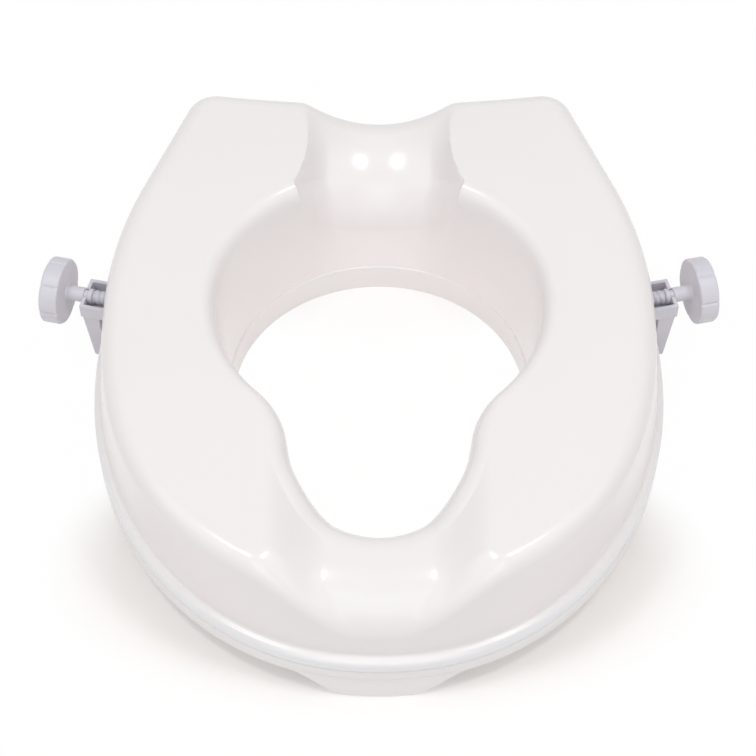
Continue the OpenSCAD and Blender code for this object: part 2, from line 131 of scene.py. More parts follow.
def mouldedPlastic(name, finish):
    material = bpy.data.materials.new(name)
    material.use_nodes = True
    tree = material.node_tree
    shader = tree.nodes["Principled BSDF"]
    shader.inputs["IOR"].default_value = finish["ior"]
    shader.inputs["Metallic"].default_value = finish.get("metal", 0.0)
    # a faint cloudiness in the resin
    cloud = linkNoise(tree, finish["cloudScale"], noiseDetail["cloud"])
    tint = tree.nodes.new("ShaderNodeMix")
    tint.data_type = "RGBA"
    tint.inputs["A"].default_value = (*finish["colour"], 1)
    tint.inputs["B"].default_value = (*finish["colourDeep"], 1)
    tree.links.new(linkRange(tree, cloud, 0, 1), tint.inputs["Factor"])
    colour = tint.outputs["Result"]
    # painted reflection: a bluer white on the bead
    if "beadSheenColour" in finish:
        colour = paintedBeadSheen(tree, colour, finish)
    tree.links.new(colour, shader.inputs["Base Color"])
    # uneven gloss from the mould's polish
    polish = linkNoise(tree, finish["polishScale"], noiseDetail["polish"])
    tree.links.new(linkRange(tree, polish, *finish["gloss"]), shader.inputs["Roughness"])
    # fine grain of the mould face
    grain = linkNoise(tree, finish["grainScale"], noiseDetail["grain"])
    bump = tree.nodes.new("ShaderNodeBump")
    bump.inputs["Strength"].default_value = finish["grainStrength"]
    bump.inputs["Distance"].default_value = finish["grainDepth"]
    tree.links.new(grain, bump.inputs["Height"])
    tree.links.new(bump.outputs["Normal"], shader.inputs["Normal"])
    return material


seatWhite = mouldedPlastic("seatWhite", plasticFinish["seat"])
baseWhite = mouldedPlastic("baseWhite", plasticFinish["base"])
clampGrey = mouldedPlastic("clampGrey", plasticFinish["clamp"])
padRubber = mouldedPlastic("padRubber", plasticFinish["rubber"])
nutSteel = mouldedPlastic("nutSteel", plasticFinish["steel"])
print("finishes made")


# sums that several pieces share

def mix(a, b, t):
    return a + (b - a) * t


def mixPoint(a, b, t):
    return (mix(a[0], b[0], t), mix(a[1], b[1], t))


def ease(t):
    t = min(1, max(0, t))
    return t * t * (3 - 2 * t)


def easeBetween(value, low, high):  # 0 up to low, 1 from high on
    return ease((value - low) / (high - low))


def steps(count):
    return [k / count for k in range(1, count + 1)]


def quarterArc(count):  # sine and cosine along a quarter turn, with both ends
    return [(math.sin(math.pi / 2 * f), math.cos(math.pi / 2 * f)) for f in [0] + steps(count)]


def wayAt(angle):  # way of unit length
    return (math.cos(angle), math.sin(angle))


def offset(point, normal, distance):
    return (point[0] + normal[0] * distance, point[1] + normal[1] * distance)


def putPoint(rib, base, way, distance, z):
    rib.append((*offset(base, way, distance), z))


def roundRise(t, fullness):  # from 0, rising straight up, to 1 where it ends level
    return (1 - (1 - min(1, t)) ** fullness) ** (1 / fullness)


def conicPoint(start, corner, end, fullness, t):  # on the rounding from start to end that heads for a corner
    a, b, c = (1 - t) ** 2, 2 * fullness * t * (1 - t), t * t
    return tuple((a * p + b * q + c * r) / (a + b + c) for p, q, r in zip(start, corner, end))


def addObject(name, data):
    thing = bpy.data.objects.new(name, data)
    bpy.context.collection.objects.link(thing)
    return thing


def smoothFaces(piece, angle):
    for face in piece.data.polygons:
        face.use_smooth = True
    piece.data.set_sharp_from_angle(angle=math.radians(angle))


# outlines of the seat and of its opening, in millimetres

seatForm = {
    # plan
    "width": 384, "depth": 433, "wideY": 16, "outlineFull": 2.1, "sideRadius": 312, "taperAngle": 20,
    "cornerRadius": 34, "rearSlant": 8, "flareFront": 6.5, "flareSide": 12,
    # rounded edge, bead, seam and heights
    "edgeFront": 11.5, "edgeSide": 16, "edgeDepthFront": 14, "edgeDepthSide": 17, "edgeFull": 2.1,
    "beadRound": 4, "ledgeFront": 6.5, "ledgeSide": 4.5, "seamRound": 1.0, "seamIn": 3.0,
    "topZ": 116, "topFall": 10, "seamZ": 27, "beadZ": 36, "skirtZ": 22, "wall": 3,
    # opening and its lip
    "openWidth": 213, "openY": 17, "lobeWidth": 114, "lobeDistance": 109, "neckRadius": 60,
    "lipWidth": 10, "lipDepth": 14, "lipFull": 0.7, "lipSteepest": 0.75, "lipSlopeRun": 0.02,
    "lipCornerRise": 1, "draft": 5,
    # dip at the front
    "frontDip": 24, "frontBow": 0.5, "frontFloor": 32, "frontMouth": 67,
    "frontFloorTip": 32, "frontMouthTip": 65, "frontFloorWall": 12, "frontMouthWall": 80,
    "frontFlareRun": 20, "frontRimFloor": 26, "frontRimMouth": 58,
    "frontNarrowY": -140, "frontNarrowRun": 45, "frontLip": 18,
    "frontRoll": 34, "frontDrop": 29, "frontFull": 1.85,
    # chute at the rear
    "rearDip": 23, "rearFall": 14, "rearBend": 0.7, "rearSquare": 0.5, "rearEdgeDrop": 14,
    "rearDipWidth": 52, "rearDipTip": 48, "rearDipRun": 3,
    "rearFloor": 35, "rearMouth": 49, "rearFloorTip": 34, "rearMouthTip": 58, "rearFlare": 5,
    "rearEdgeSoft": 0.4, "rearEdgeSoftTip": 1.5, "rearSoftFlare": 3, "rearWallFull": 2.1,
    "rearLip": 18, "rearLipDepth": 16, "rearLipFull": 0.55, "rearLean": 6, "rearLipFrom": 30, "rearLipTo": 55,
    # ends of both dips, shading and ribs in each stretch of the plan
    "dipCornerRound": 0.1, "sharpAngle": 38,
    "stretchRibs": (140, 26, 14, 40, 140),
}
# stations round the outside and the stations round the opening that their ribs run to
pairOuter = (0, 0.13, 0.255, 0.56, 1, 2, 3, 4, 4.47, 5)
pairInner = (0, 0.36, 0.8, 1.35, 2.33, 2.52, 2.66, 2.72, 2.747, 3)
lastOuter, lastInner = pairOuter[-1], pairInner[-1]
pairReach = 0.1  # stations over which the turn from one pairing to the next is spread
pairTaps = 6  # samples to each side

halfWidth = seatForm["width"] / 2
frontLength = seatForm["wideY"] + seatForm["depth"] / 2
taper = math.radians(seatForm["taperAngle"])
slant = math.radians(seatForm["rearSlant"])
taperNormal = wayAt(taper)
sideCentre = (halfWidth - seatForm["sideRadius"], seatForm["wideY"])
sideEnd = offset(sideCentre, taperNormal, seatForm["sideRadius"])
cornerRadius = seatForm["cornerRadius"]
cornerY = seatForm["depth"] / 2 - cornerRadius
cornerX = (sideEnd[0] * taperNormal[0] + sideEnd[1] * taperNormal[1] - cornerRadius
           - cornerY * taperNormal[1]) / taperNormal[0]
cornerCentre = (cornerX, cornerY)
taperEnd = offset(cornerCentre, taperNormal, cornerRadius)
rearStart = offset(cornerCentre, wayAt(math.pi / 2 + slant), cornerRadius)

openCentre = (0, seatForm["openY"])
lobeCentre = (0, seatForm["openY"] - seatForm["lobeDistance"])
mainRadius = seatForm["openWidth"] / 2
lobeRadius = seatForm["lobeWidth"] / 2
mainReach = mainRadius + seatForm["neckRadius"]
lobeReach = lobeRadius + seatForm["neckRadius"]
neckDrop = (mainReach ** 2 - lobeReach ** 2 + seatForm["lobeDistance"] ** 2) / (2 * seatForm["lobeDistance"])
neckCentre = (math.sqrt(mainReach ** 2 - neckDrop ** 2), seatForm["openY"] - neckDrop)
lobeAngle = math.atan2(neckCentre[1] - lobeCentre[1], neckCentre[0])
mainAngle = math.atan2(neckCentre[1] - openCentre[1], neckCentre[0])


def sideShare(q):  # 0 round the front, 1 from the sides on
    return ease(2 * q - 1)


def seatOutline(q):  # point, way out and lean of the wall, from 0 at the front to 5 at the middle of the rear
    sideLean = seatForm["flareSide"]
    if q < 1:
        full = seatForm["outlineFull"]
        u = math.sin(math.pi / 2 * q) ** (2 / full)
        v = math.cos(math.pi / 2 * q) ** (2 / full)
        point = (halfWidth * u, seatForm["wideY"] - frontLength * v)
        nx, ny = u ** (full - 1) / halfWidth, -v ** (full - 1) / frontLength
        long = math.hypot(nx, ny)
        return point, (nx / long, ny / long), mix(seatForm["flareFront"], sideLean, sideShare(q))
    if q < 2:
        normal = wayAt(taper * (q - 1))
        return offset(sideCentre, normal, seatForm["sideRadius"]), normal, sideLean
    if q < 3:
        return mixPoint(sideEnd, taperEnd, q - 2), taperNormal, sideLean
    if q < 4:
        normal = wayAt(mix(taper, math.pi / 2 + slant, q - 3))
        return offset(cornerCentre, normal, cornerRadius), normal, sideLean
    f = lastOuter - q
    rise = math.tan(slant)
    point = (rearStart[0] * f, rearStart[1] - rise * rearStart[0] / 2 * (1 - f * f))
    long = math.hypot(rise * f, 1)
    return point, (-rise * f / long, 1 / long), sideLean


def openingOutline(s):  # point and way out, from 0 at the front to 3 at the rear
    if s < 1:
        normal = wayAt(mix(-math.pi / 2, lobeAngle, s))
        return offset(lobeCentre, normal, lobeRadius), normal
    if s < 2:
        normal = wayAt(mix(lobeAngle, mainAngle, s - 1))
        return offset(neckCentre, normal, -seatForm["neckRadius"]), normal
    normal = wayAt(mix(mainAngle, math.pi / 2, s - 2))
    return offset(openCentre, normal, mainRadius), normal


def pairLookup(q):  # mirrored past both ends
    if q < 0:
        return -pairLookup(-q)
    if q > lastOuter:
        return 2 * lastInner - pairLookup(2 * lastOuter - q)
    for k in range(len(pairOuter) - 1):
        if q <= pairOuter[k + 1]:
            t = (q - pairOuter[k]) / (pairOuter[k + 1] - pairOuter[k])
            return mix(pairInner[k], pairInner[k + 1], t)


def pairedStation(q):
    taps = [pairLookup(q + pairReach * k / pairTaps) for k in range(-pairTaps, pairTaps + 1)]
    return min(lastInner, max(0, sum(taps) / len(taps)))


# heights of the seat's top, with a dip at the front and a chute at the rear

def slopedTop(point):  # the top falls a little towards the front
    return seatForm["topZ"] - seatForm["topFall"] * (0.5 - point[1] / seatForm["depth"])


def softShare(bow):  # a bow's depth, rounded where it runs out
    soft = seatForm["dipCornerRound"]
    outer = (bow + math.sqrt(bow * bow + soft ** 2)) / 2
    return max(0, outer - soft ** 2 / 4 * (1 - ease(bow)))


def frontShare(point, inside):  # share of the front dip's depth, inside being the distance from the wall
    if point[1] > 0:
        return 0
    ahead = ease((seatForm["frontNarrowY"] - point[1]) / seatForm["frontNarrowRun"])
    near = ease(inside / seatForm["frontFlareRun"])
    floor = mix(seatForm["frontFloor"], seatForm["frontFloorTip"], ahead)
    floor = mix(seatForm["frontFloorWall"], floor, near)
    mouth = mix(seatForm["frontMouth"], seatForm["frontMouthTip"], ahead)
    mouth = mix(seatForm["frontMouthWall"], mouth, near)
    bowed = seatForm["frontBow"] * near
    bow = softShare(1 - (point[0] / mouth) ** 2)
    return bowed * bow + (1 - bowed) * (1 - easeBetween(abs(point[0]), floor, mouth))


def rearBow(point, f):  # share of the rear dip's depth across the chute, f from the rear edge to the opening
    half = mix(seatForm["rearDipWidth"], seatForm["rearDipTip"], min(1, seatForm["rearDipRun"] * f))
    return softShare(1 - (point[0] / half) ** 2)


def rearWalls(f, spot):  # 1 on the floor of the chute, 0 outside its side walls
    flare = f ** seatForm["rearFlare"]
    floor = mix(seatForm["rearFloor"], seatForm["rearFloorTip"], flare)
    mouth = mix(seatForm["rearMouth"], seatForm["rearMouthTip"], flare)
    inside = max(0, mouth - abs(spot[0])) / (mouth - floor)
    soft = mix(seatForm["rearEdgeSoft"], seatForm["rearEdgeSoftTip"], f ** seatForm["rearSoftFlare"])
    return roundRise((1 + soft) * inside ** 2 / (inside + soft), seatForm["rearWallFull"])


def rearDepth(f, spot):
    run = mix(f, f * f, seatForm["rearBend"])
    walls = rearWalls(f, spot)
    dip = mix(rearBow(spot, f), walls, seatForm["rearSquare"] * f)
    return seatForm["rearDip"] * dip + seatForm["rearFall"] * run * walls


def topHeight(plan, spot, inside, f):  # from the head of the wall to the rounding at the opening
    rise = 1 - roundRise(inside / plan["edge"], seatForm["edgeFull"])
    level = slopedTop(spot)
    flat = level - plan["edgeDepth"] * rise
    if plan["station"] < 1:
        roll = 1 - roundRise(inside / seatForm["frontRoll"], seatForm["frontFull"])
        dipped = level - seatForm["frontDip"] - seatForm["frontDrop"] * roll
        return mix(flat, dipped, frontShare(spot, inside))
    if plan["station"] > 4:
        filled = (seatForm["rearDip"] - seatForm["rearEdgeDrop"]) * plan["bow"] * rise
        return flat - rearDepth(f, spot) + filled
    return flat


def topSpot(plan, f):
    spot = mixPoint(plan["outerRim"], plan["innerRim"], f)
    return spot, topHeight(plan, spot, plan["edge"] + plan["inward"] * f, f)


# ribs of the seat, from the seam over the top and down to the foot of the opening's wall

ribSteps = {  # for the skin that shows and for the plain skin inside
    "seam": (3,), "bead": (6,), "fillet": (4,), "wall": (8, 2), "edge": (20, 4), "top": (50, 10),
    "lip": (14, 3), "foot": (8, 2),
}


def ribCount(stretch, skin):
    return ribSteps[stretch][1 if skin else 0]


def ribPlan(q):
    point, normal, lean = seatOutline(q)
    opening, rimNormal = openingOutline(pairedStation(q))
    side = sideShare(q)
    edge = mix(seatForm["edgeFront"], seatForm["edgeSide"], side)
    rear = q > 4
    chute = 1 - easeBetween(opening[0], seatForm["rearLipFrom"], seatForm["rearLipTo"]) if rear else 0
    # the opening's wall stands upright at the rear but leans back under the chute
    upright = -seatForm["draft"] * max(0, rimNormal[1]) ** 2
    rim = offset(opening, rimNormal, mix(upright, seatForm["rearLean"], chute))
    lipWidth = mix(seatForm["lipWidth"], seatForm["rearLip"], chute)
    if q < 1:
        lipWidth = mix(lipWidth, seatForm["frontLip"], frontShare(rim, seatForm["frontFlareRun"]))
    outerRim = offset(point, normal, -lean - edge)
    innerRim = offset(rim, rimNormal, lipWidth)
    across = (outerRim[0] - innerRim[0], outerRim[1] - innerRim[1])
    return {
        "station": q, "point": point, "normal": normal, "lean": lean, "opening": opening,
        "rim": rim, "rimNormal": rimNormal, "chute": chute, "bow": rearBow(point, 0) if rear else 0,
        "edge": edge, "edgeDepth": mix(seatForm["edgeDepthFront"], seatForm["edgeDepthSide"], side),
        "ledge": min(lean, mix(seatForm["ledgeFront"], seatForm["ledgeSide"], side)),
        "lipWidth": lipWidth, "outerRim": outerRim, "innerRim": innerRim,
        "topRun": math.hypot(*across), "inward": across[0] * normal[0] + across[1] * normal[1],
    }


def wallPoints(rib, plan, skin):  # seam, bead and wall
    point, normal = plan["point"], plan["normal"]
    ledge, lean = plan["ledge"], plan["lean"]
    seam, foot = seatForm["seamZ"], seatForm["beadZ"]
    if skin:
        putPoint(rib, point, normal, -ledge - skin, seam)
        putPoint(rib, point, normal, -ledge - skin, foot)
    else:
        turn, bead = seatForm["seamRound"], seatForm["beadRound"]
        fillet = ledge - bead
        putPoint(rib, point, normal, -seatForm["seamIn"], seam)
        for s, c in quarterArc(ribCount("seam", skin)):
            putPoint(rib, point, normal, -turn * (1 - s), seam + turn * (1 - c))
        for s, c in quarterArc(ribCount("bead", skin)):
            putPoint(rib, point, normal, -bead * (1 - c), foot - bead * (1 - s))
        for s, c in quarterArc(ribCount("fillet", skin)):
            putPoint(rib, point, normal, -ledge + fillet * (1 - s), foot + fillet * (1 - c))
        foot += fillet
    head = topHeight(plan, offset(point, normal, -lean), 0, 0)
    for f in steps(ribCount("wall", skin)):
        putPoint(rib, point, normal, -mix(ledge, lean, f) - skin, mix(foot, head, f))


def topPoints(rib, plan, skin):  # rounded edge and the top across to the lip
    point, normal = plan["point"], plan["normal"]
    edge, lean = plan["edge"], plan["lean"]
    for f in steps(ribCount("edge", skin)):
        inside = edge * (1 - math.cos(math.pi / 2 * f))
        thin = skin * roundRise(inside / edge, seatForm["edgeFull"])
        z = topHeight(plan, offset(point, normal, -lean - inside), inside, 0)
        putPoint(rib, point, normal, -lean - skin - inside * (1 - skin / edge), z - thin)
    for f in steps(ribCount("top", skin)):
        spot, height = topSpot(plan, f)
        rib.append((*spot, height - skin))


def openingPoints(rib, plan, skin):  # rounded lip and the opening's wall
    rim, rimNormal = plan["rim"], plan["rimNormal"]
    lipWidth, chute = plan["lipWidth"], plan["chute"]
    zInner = topSpot(plan, 1)[1]
    slopeRun = seatForm["lipSlopeRun"]
    drop = max(0, topSpot(plan, 1 - slopeRun)[1] - zInner)
    lipSlope = min(seatForm["lipSteepest"], drop / (slopeRun * plan["topRun"]))
    lipDepth = mix(seatForm["lipDepth"], seatForm["rearLipDepth"], chute)
    lipFull = mix(seatForm["lipFull"], seatForm["rearLipFull"], chute)
    lipHead = zInner - lipWidth * lipSlope
    lipFoot = lipHead - lipDepth
    if plan["station"] < 1:
        dipped = 0
        if rim[1] < 0:
            dipped = 1 - easeBetween(rim[0], seatForm["frontRimFloor"], seatForm["frontRimMouth"])
        lipFoot = slopedTop(rim) - seatForm["frontDip"] * dipped - lipDepth
    lipCorner = max(lipHead, lipFoot + seatForm["lipCornerRise"])
    for f in steps(ribCount("lip", skin)):
        start, corner, end = (lipWidth, zInner - skin), (skin, lipCorner - skin), (skin, lipFoot)
        back, z = conicPoint(start, corner, end, lipFull, f)
        putPoint(rib, rim, rimNormal, back, z)
    foot = offset(plan["opening"], rimNormal, -seatForm["draft"])
    for f in steps(ribCount("foot", skin)):
        putPoint(rib, mixPoint(rim, foot, f), rimNormal, skin, mix(lipFoot, seatForm["skirtZ"], f))


def seatRib(q, skin):
    plan = ribPlan(q)
    rib = []
    wallPoints(rib, plan, skin)
    topPoints(rib, plan, skin)
    openingPoints(rib, plan, skin)
    return rib


def halfStations(counts):
    stations = [k + i / count for k, count in enumerate(counts) for i in range(count)]
    return stations + [lastOuter]


def loftRing(name, section, stations):  # the left half mirrors the right one
    half = [section(q) for q in stations]
    ring = half + [[(-x, y, z) for x, y, z in rib] for rib in reversed(half[1:-1])]
    around, along = len(ring), len(ring[0])
    points = [(x * mm, y * mm, z * mm) for rib in ring for x, y, z in rib]
    faces = []
    for i in range(around):
        here, there = i * along, (i + 1) % around * along
        for j in range(along):
            k = (j + 1) % along
            faces.append((here + j, there + j, there + k, here + k))
    mesh = bpy.data.meshes.new(name)
    mesh.from_pydata(points, [], faces)
    return addObject(name, mesh)


# the two clamp lines and the windows cut for them

clampLine = {"angle": 13, "centreY": 21, "screwZ": 48.5, "cutReach": 90, "cutSegments": 4}
sides = {"right": math.radians(clampLine["angle"]), "left": math.pi - math.radians(clampLine["angle"])}


def clampPlace(side):  # local x runs outward along the screw
    return Matrix.Translation((0, clampLine["centreY"] * mm, 0)) @ Matrix.Rotation(sides[side], 4, "Z")


def slotCutter(side, window):
    form = bmesh.new()
    bmesh.ops.create_cube(form, size=1)
    reach, low, high = clampLine["cutReach"], window["low"], window["high"]
    size = Matrix.Diagonal((reach * mm, 2 * window["half"] * mm, (high - low) * mm, 1))
    middle = Matrix.Translation(((window["inner"] + reach / 2) * mm, 0, (low + high) / 2 * mm))
    bmesh.ops.transform(form, matrix=clampPlace(side) @ middle @ size, verts=form.verts)
    upright = [e for e in form.edges if abs(e.verts[0].co.z - e.verts[1].co.z) > 0.5 * (high - low) * mm]
    bmesh.ops.bevel(form, geom=upright, offset=window["round"] * mm, segments=clampLine["cutSegments"],
                    profile=0.5, affect="EDGES")
    mesh = bpy.data.meshes.new("slotCutter")
    form.to_mesh(mesh)
    form.free()
    return addObject("slotCutter", mesh)


def cutWindows(piece, window):
    for cutter in [slotCutter(side, window) for side in sides]:
        cut = piece.modifiers.new("cut", "BOOLEAN")
        cut.operation = "DIFFERENCE"
        cut.solver = "EXACT"
        cut.object = cutter
        bpy.context.view_layer.objects.active = piece
        bpy.ops.object.modifier_apply(modifier=cut.name)
        bpy.data.objects.remove(cutter)


# moulded seat

seatWindow = {"inner": 172, "half": 13.8, "low": 10, "high": 56.25, "round": 1.2}


def seatSection(q):
    return seatRib(q, 0) + list(reversed(seatRib(q, seatForm["wall"])))


seat = loftRing("mouldedSeat", seatSection, halfStations(seatForm["stretchRibs"]))
cutWindows(seat, seatWindow)
smoothFaces(seat, seatForm["sharpAngle"])
seat.data.materials.append(seatWhite)
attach(seat, "seat")
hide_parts("seat_shell")
print("moulded seat:", len(seat.data.polygons), "faces")


# base ring with its skirt and front lip

baseForm = {
    "bearingZ": 16, "plateZ": 19, "bandWidth": 6, "seamGap": 0.3, "seamRound": 1.0, "seamIn": 3.0,
    "lipInner": 20, "lipOuter": 56, "lipWidth": 7.5, "lipProud": 1.5, "lipRound": 1.3, "lipChamfer": 1.5,
    "creaseDepth": 0.25, "creaseFade": 4, "creaseZ": 18.0, "creaseHalf": 0.5,
    "skirtStep": 1, "skirtWidth": 4, "skirtRound": 1.2, "rootChamfer": 1.0,
    "seamSteps": 3, "lipSteps": 5, "faceSteps": 4, "skirtSteps": 4, "sharpAngle": 40,
    "stretchRibs": (140, 26, 14, 40, 80),
}
baseSlot = {"inner": 166, "half": 13.8, "low": -5, "high": 29, "round": 1.2}


def bandPoints(section, point, normal, hang):  # down the outside: seam edge, band, crease and lip
    seam, bearing = seatForm["seamZ"] - baseForm["seamGap"], baseForm["bearingZ"]
    turn, tip, inner = baseForm["seamRound"], baseForm["lipRound"], -baseForm["lipWidth"]
    low = bearing * (1 - hang)
    proud = baseForm["lipProud"] * hang
    crease = baseForm["creaseDepth"] * min(1, hang * baseForm["creaseFade"])
    creaseZ, creaseHalf = baseForm["creaseZ"], baseForm["creaseHalf"]
    putPoint(section, point, normal, -baseForm["seamIn"], seam)
    for s, c in quarterArc(baseForm["seamSteps"]):
        putPoint(section, point, normal, -turn + turn * s, seam - turn + turn * c)
    putPoint(section, point, normal, 0, creaseZ + creaseHalf)
    putPoint(section, point, normal, -crease, creaseZ)
    putPoint(section, point, normal, 0, creaseZ - creaseHalf)
    for s, c in quarterArc(baseForm["lipSteps"]):
        putPoint(section, point, normal, proud - tip + tip * c, low + tip - tip * s)
    putPoint(section, point, normal, inner + tip, low)
    putPoint(section, point, normal, inner, low + min(baseForm["lipChamfer"], (bearing - low) / 2))
    putPoint(section, point, normal, inner, bearing - min(baseForm["rootChamfer"], (bearing - low) / 2))


def baseSection(q):
    point, normal = seatOutline(q)[:2]
    rim, rimNormal = openingOutline(pairedStation(q))
    seam, bearing = seatForm["seamZ"] - baseForm["seamGap"], baseForm["bearingZ"]
    hang = 1 - easeBetween(abs(point[0]), baseForm["lipInner"], baseForm["lipOuter"]) if q < 1 else 0
    skirtIn = -seatForm["draft"] - baseForm["skirtStep"]
    skirtOut = skirtIn + baseForm["skirtWidth"]
    bend, root, skirtZ = baseForm["skirtRound"], baseForm["rootChamfer"], seatForm["skirtZ"]
    section = []
    bandPoints(section, point, normal, hang)
    # along the bearing face
    start = offset(point, normal, -baseForm["lipWidth"] - root)
    end = offset(rim, rimNormal, skirtOut + root)
    for f in [0] + steps(baseForm["faceSteps"]):
        section.append((*mixPoint(start, end, f), bearing))
    # round the skirt
    putPoint(section, rim, rimNormal, skirtOut, bearing - root)
    for s, c in quarterArc(baseForm["skirtSteps"]):
        putPoint(section, rim, rimNormal, skirtOut - bend + bend * c, bend - bend * s)
    for s, c in quarterArc(baseForm["skirtSteps"]):
        putPoint(section, rim, rimNormal, skirtIn + bend - bend * s, bend - bend * c)
    for s, c in quarterArc(baseForm["skirtSteps"]):
        putPoint(section, rim, rimNormal, skirtIn + bend - bend * c, skirtZ - bend + bend * s)
    # back over the skirt and along the plate inside the seat
    putPoint(section, rim, rimNormal, skirtOut, skirtZ)
    putPoint(section, rim, rimNormal, skirtOut, baseForm["plateZ"])
    putPoint(section, point, normal, -baseForm["bandWidth"], baseForm["plateZ"])
    putPoint(section, point, normal, -baseForm["bandWidth"], seam)
    return section


base = loftRing("baseRing", baseSection, halfStations(baseForm["stretchRibs"]))
cutWindows(base, baseSlot)
smoothFaces(base, baseForm["sharpAngle"])
base.data.materials.append(baseWhite)
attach(base, "seat")
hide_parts("base_ring")
print("base ring:", len(base.data.polygons), "faces")


# turned and lobed clamp pieces

def roundRing(x, around, reach):  # points round the screw line, reach being the radius at an angle
    angles = [2 * math.pi * j / around for j in range(around)]
    return [(x, reach(a) * math.cos(a), reach(a) * math.sin(a)) for a in angles]


def turnedPiece(name, rings, side):  # closed at both ends
    around = len(rings[0])
    points = [(x * mm, y * mm, z * mm) for ring in rings for x, y, z in ring]
    faces = [tuple(reversed(range(around)))]
    for i in range(len(rings) - 1):
        for j in range(around):
            k = (j + 1) % around
            faces.append((i * around + j, i * around + k, (i + 1) * around + k, (i + 1) * around + j))
    faces.append(tuple(range((len(rings) - 1) * around, len(rings) * around)))
    mesh = bpy.data.meshes.new(name)
    mesh.from_pydata(points, [], faces)
    mesh.transform(clampPlace(side) @ Matrix.Translation((0, 0, clampLine["screwZ"] * mm)))
    form = bmesh.new()
    form.from_mesh(mesh)
    bmesh.ops.recalc_face_normals(form, faces=form.faces)
    form.to_mesh(mesh)
    form.free()
    return addObject(name, mesh)


screwForm = {
    "start": 142, "threadEnd": 201.6, "collarEnd": 205.4, "neckEnd": 208.1, "shankEnd": 229,
    "threadRadius": 4.8, "rootRadius": 3.75, "collarRadius": 5.25, "neckRadius": 3.75, "shankRadius": 5.25,
    "pitch": 4.0, "crestPower": 0.45, "runIn": 2, "runInDepth": 0.4, "tipLength": 0.6, "tipRadius": 2.75,
    "reliefStart": 0.05, "reliefEnd": 0.3, "collarGap": 0.35, "spigotLength": 8.1, "spigotRadius": 4,
    "edge": 0.4, "around": 48, "perTurn": 20, "sharpAngle": 40,
}


def threadRadius(x, a):
    form = screwForm
    u = (x / form["pitch"] - a / (2 * math.pi)) % 1
    crest = mix(form["rootRadius"], form["threadRadius"], math.sin(math.pi * u) ** form["crestPower"])
    runIn = max(0, min(1, (x - form["start"]) / form["runIn"]))
    return mix(form["rootRadius"] - form["runInDepth"], crest, runIn)


def screwPiece(side):
    form = screwForm
    rings = []

    def plainRing(x, radius):
        rings.append(roundRing(x, form["around"], lambda a: radius))

    plainRing(form["start"] - form["tipLength"], form["tipRadius"])
    count = round((form["threadEnd"] - form["start"]) / form["pitch"] * form["perTurn"])
    for i in range(count + 1):
        x = mix(form["start"], form["threadEnd"], i / count)
        rings.append(roundRing(x, form["around"], lambda a: threadRadius(x, a)))
    edge, end = form["edge"], form["threadEnd"]
    collar, shank = form["collarRadius"], form["shankRadius"]
    plainRing(end + form["reliefStart"], form["rootRadius"])
    plainRing(end + form["reliefEnd"], form["rootRadius"])
    plainRing(end + form["collarGap"], collar - edge)
    plainRing(end + form["collarGap"] + edge, collar)
    plainRing(form["collarEnd"] - edge, collar)
    plainRing(form["collarEnd"], collar - edge)
    plainRing(form["collarEnd"], form["neckRadius"])
    plainRing(form["neckEnd"], form["neckRadius"])
    plainRing(form["neckEnd"], shank - edge)
    plainRing(form["neckEnd"] + edge, shank)
    plainRing(form["shankEnd"] - form["spigotLength"], shank)
    plainRing(form["shankEnd"] - form["spigotLength"], form["spigotRadius"])
    plainRing(form["shankEnd"], form["spigotRadius"])
    screw = turnedPiece(side + "ClampScrew", rings, side)
    smoothFaces(screw, form["sharpAngle"])
    screw.data.materials.append(clampGrey)
    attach(screw, side + "_clamp_screw")
    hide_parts(side + "_screw")


knobForm = {
    "inner": 221, "thick": 13, "radius": 23, "lobes": 7, "perLobe": 48, "lobeDepth": 0.45, "firstGroove": -49,
    "grooveDepth": 0.75, "grooveHalf": 0.75, "edgeRound": 1.6, "hubRadius": 5.3, "hubInset": 1.2,
    "hubFillet": 0.9, "dish": 0.5, "dishRun": 2.2, "middleRadius": 0.6,
    "hubSteps": 4, "innerSteps": 5, "edgeSteps": 6, "rimSteps": 6, "outerSteps": 10, "sharpAngle": 50,
}


def knobRelief(a):  # depth of the lobes and grooves below the knob's radius
    lobeTurn = 2 * math.pi / knobForm["lobes"]
    along = (a - math.radians(knobForm["firstGroove"]) + lobeTurn / 2) % lobeTurn - lobeTurn / 2
    lobe = knobForm["lobeDepth"] * (1 - math.sin(math.pi * abs(along) / lobeTurn))
    across = along * knobForm["radius"] / knobForm["grooveHalf"]
    return lobe + knobForm["grooveDepth"] * math.exp(-across ** 2)


def knobPiece(side):
    form = knobForm
    rings = []

    def ring(x, radius, share):  # share fades the lobes and grooves towards the middle of the faces
        rings.append(roundRing(x, form["lobes"] * form["perLobe"], lambda a: radius - knobRelief(a) * share))

    near, far = form["inner"], form["inner"] + form["thick"]
    edge, hub, fillet = form["edgeRound"], form["hubRadius"], form["hubFillet"]
    flat = form["radius"] - edge
    ring(near - fillet, hub - form["hubInset"], 0)
    ring(near - fillet, hub, 0)
    for s, c in quarterArc(form["hubSteps"])[1:]:
        ring(near - fillet * (1 - s), hub + fillet * (1 - c), 0)
    for f in steps(form["innerSteps"]):
        ring(near, mix(hub + fillet, flat, f), max(0, 2 * f - 1))
    for s, c in quarterArc(form["edgeSteps"])[1:]:
        ring(near + edge - edge * c, flat + edge * s, 1)
    for f in steps(form["rimSteps"]):
        ring(mix(near + edge, far - edge, f), form["radius"], 1)
    for s, c in quarterArc(form["edgeSteps"])[1:]:
        ring(far - edge + edge * s, flat + edge * c, 1)
    for f in steps(form["outerSteps"]):
        dish = form["dish"] * ease(form["dishRun"] * f)
        ring(far - dish, mix(flat, form["middleRadius"], f), max(0, 1 - 2 * f))
    knob = turnedPiece(side + "ClampKnob", rings, side)
    smoothFaces(knob, form["sharpAngle"])
    knob.data.materials.append(clampGrey)
    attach(knob, side + "_clamp_screw")
    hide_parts(side + "_knob")


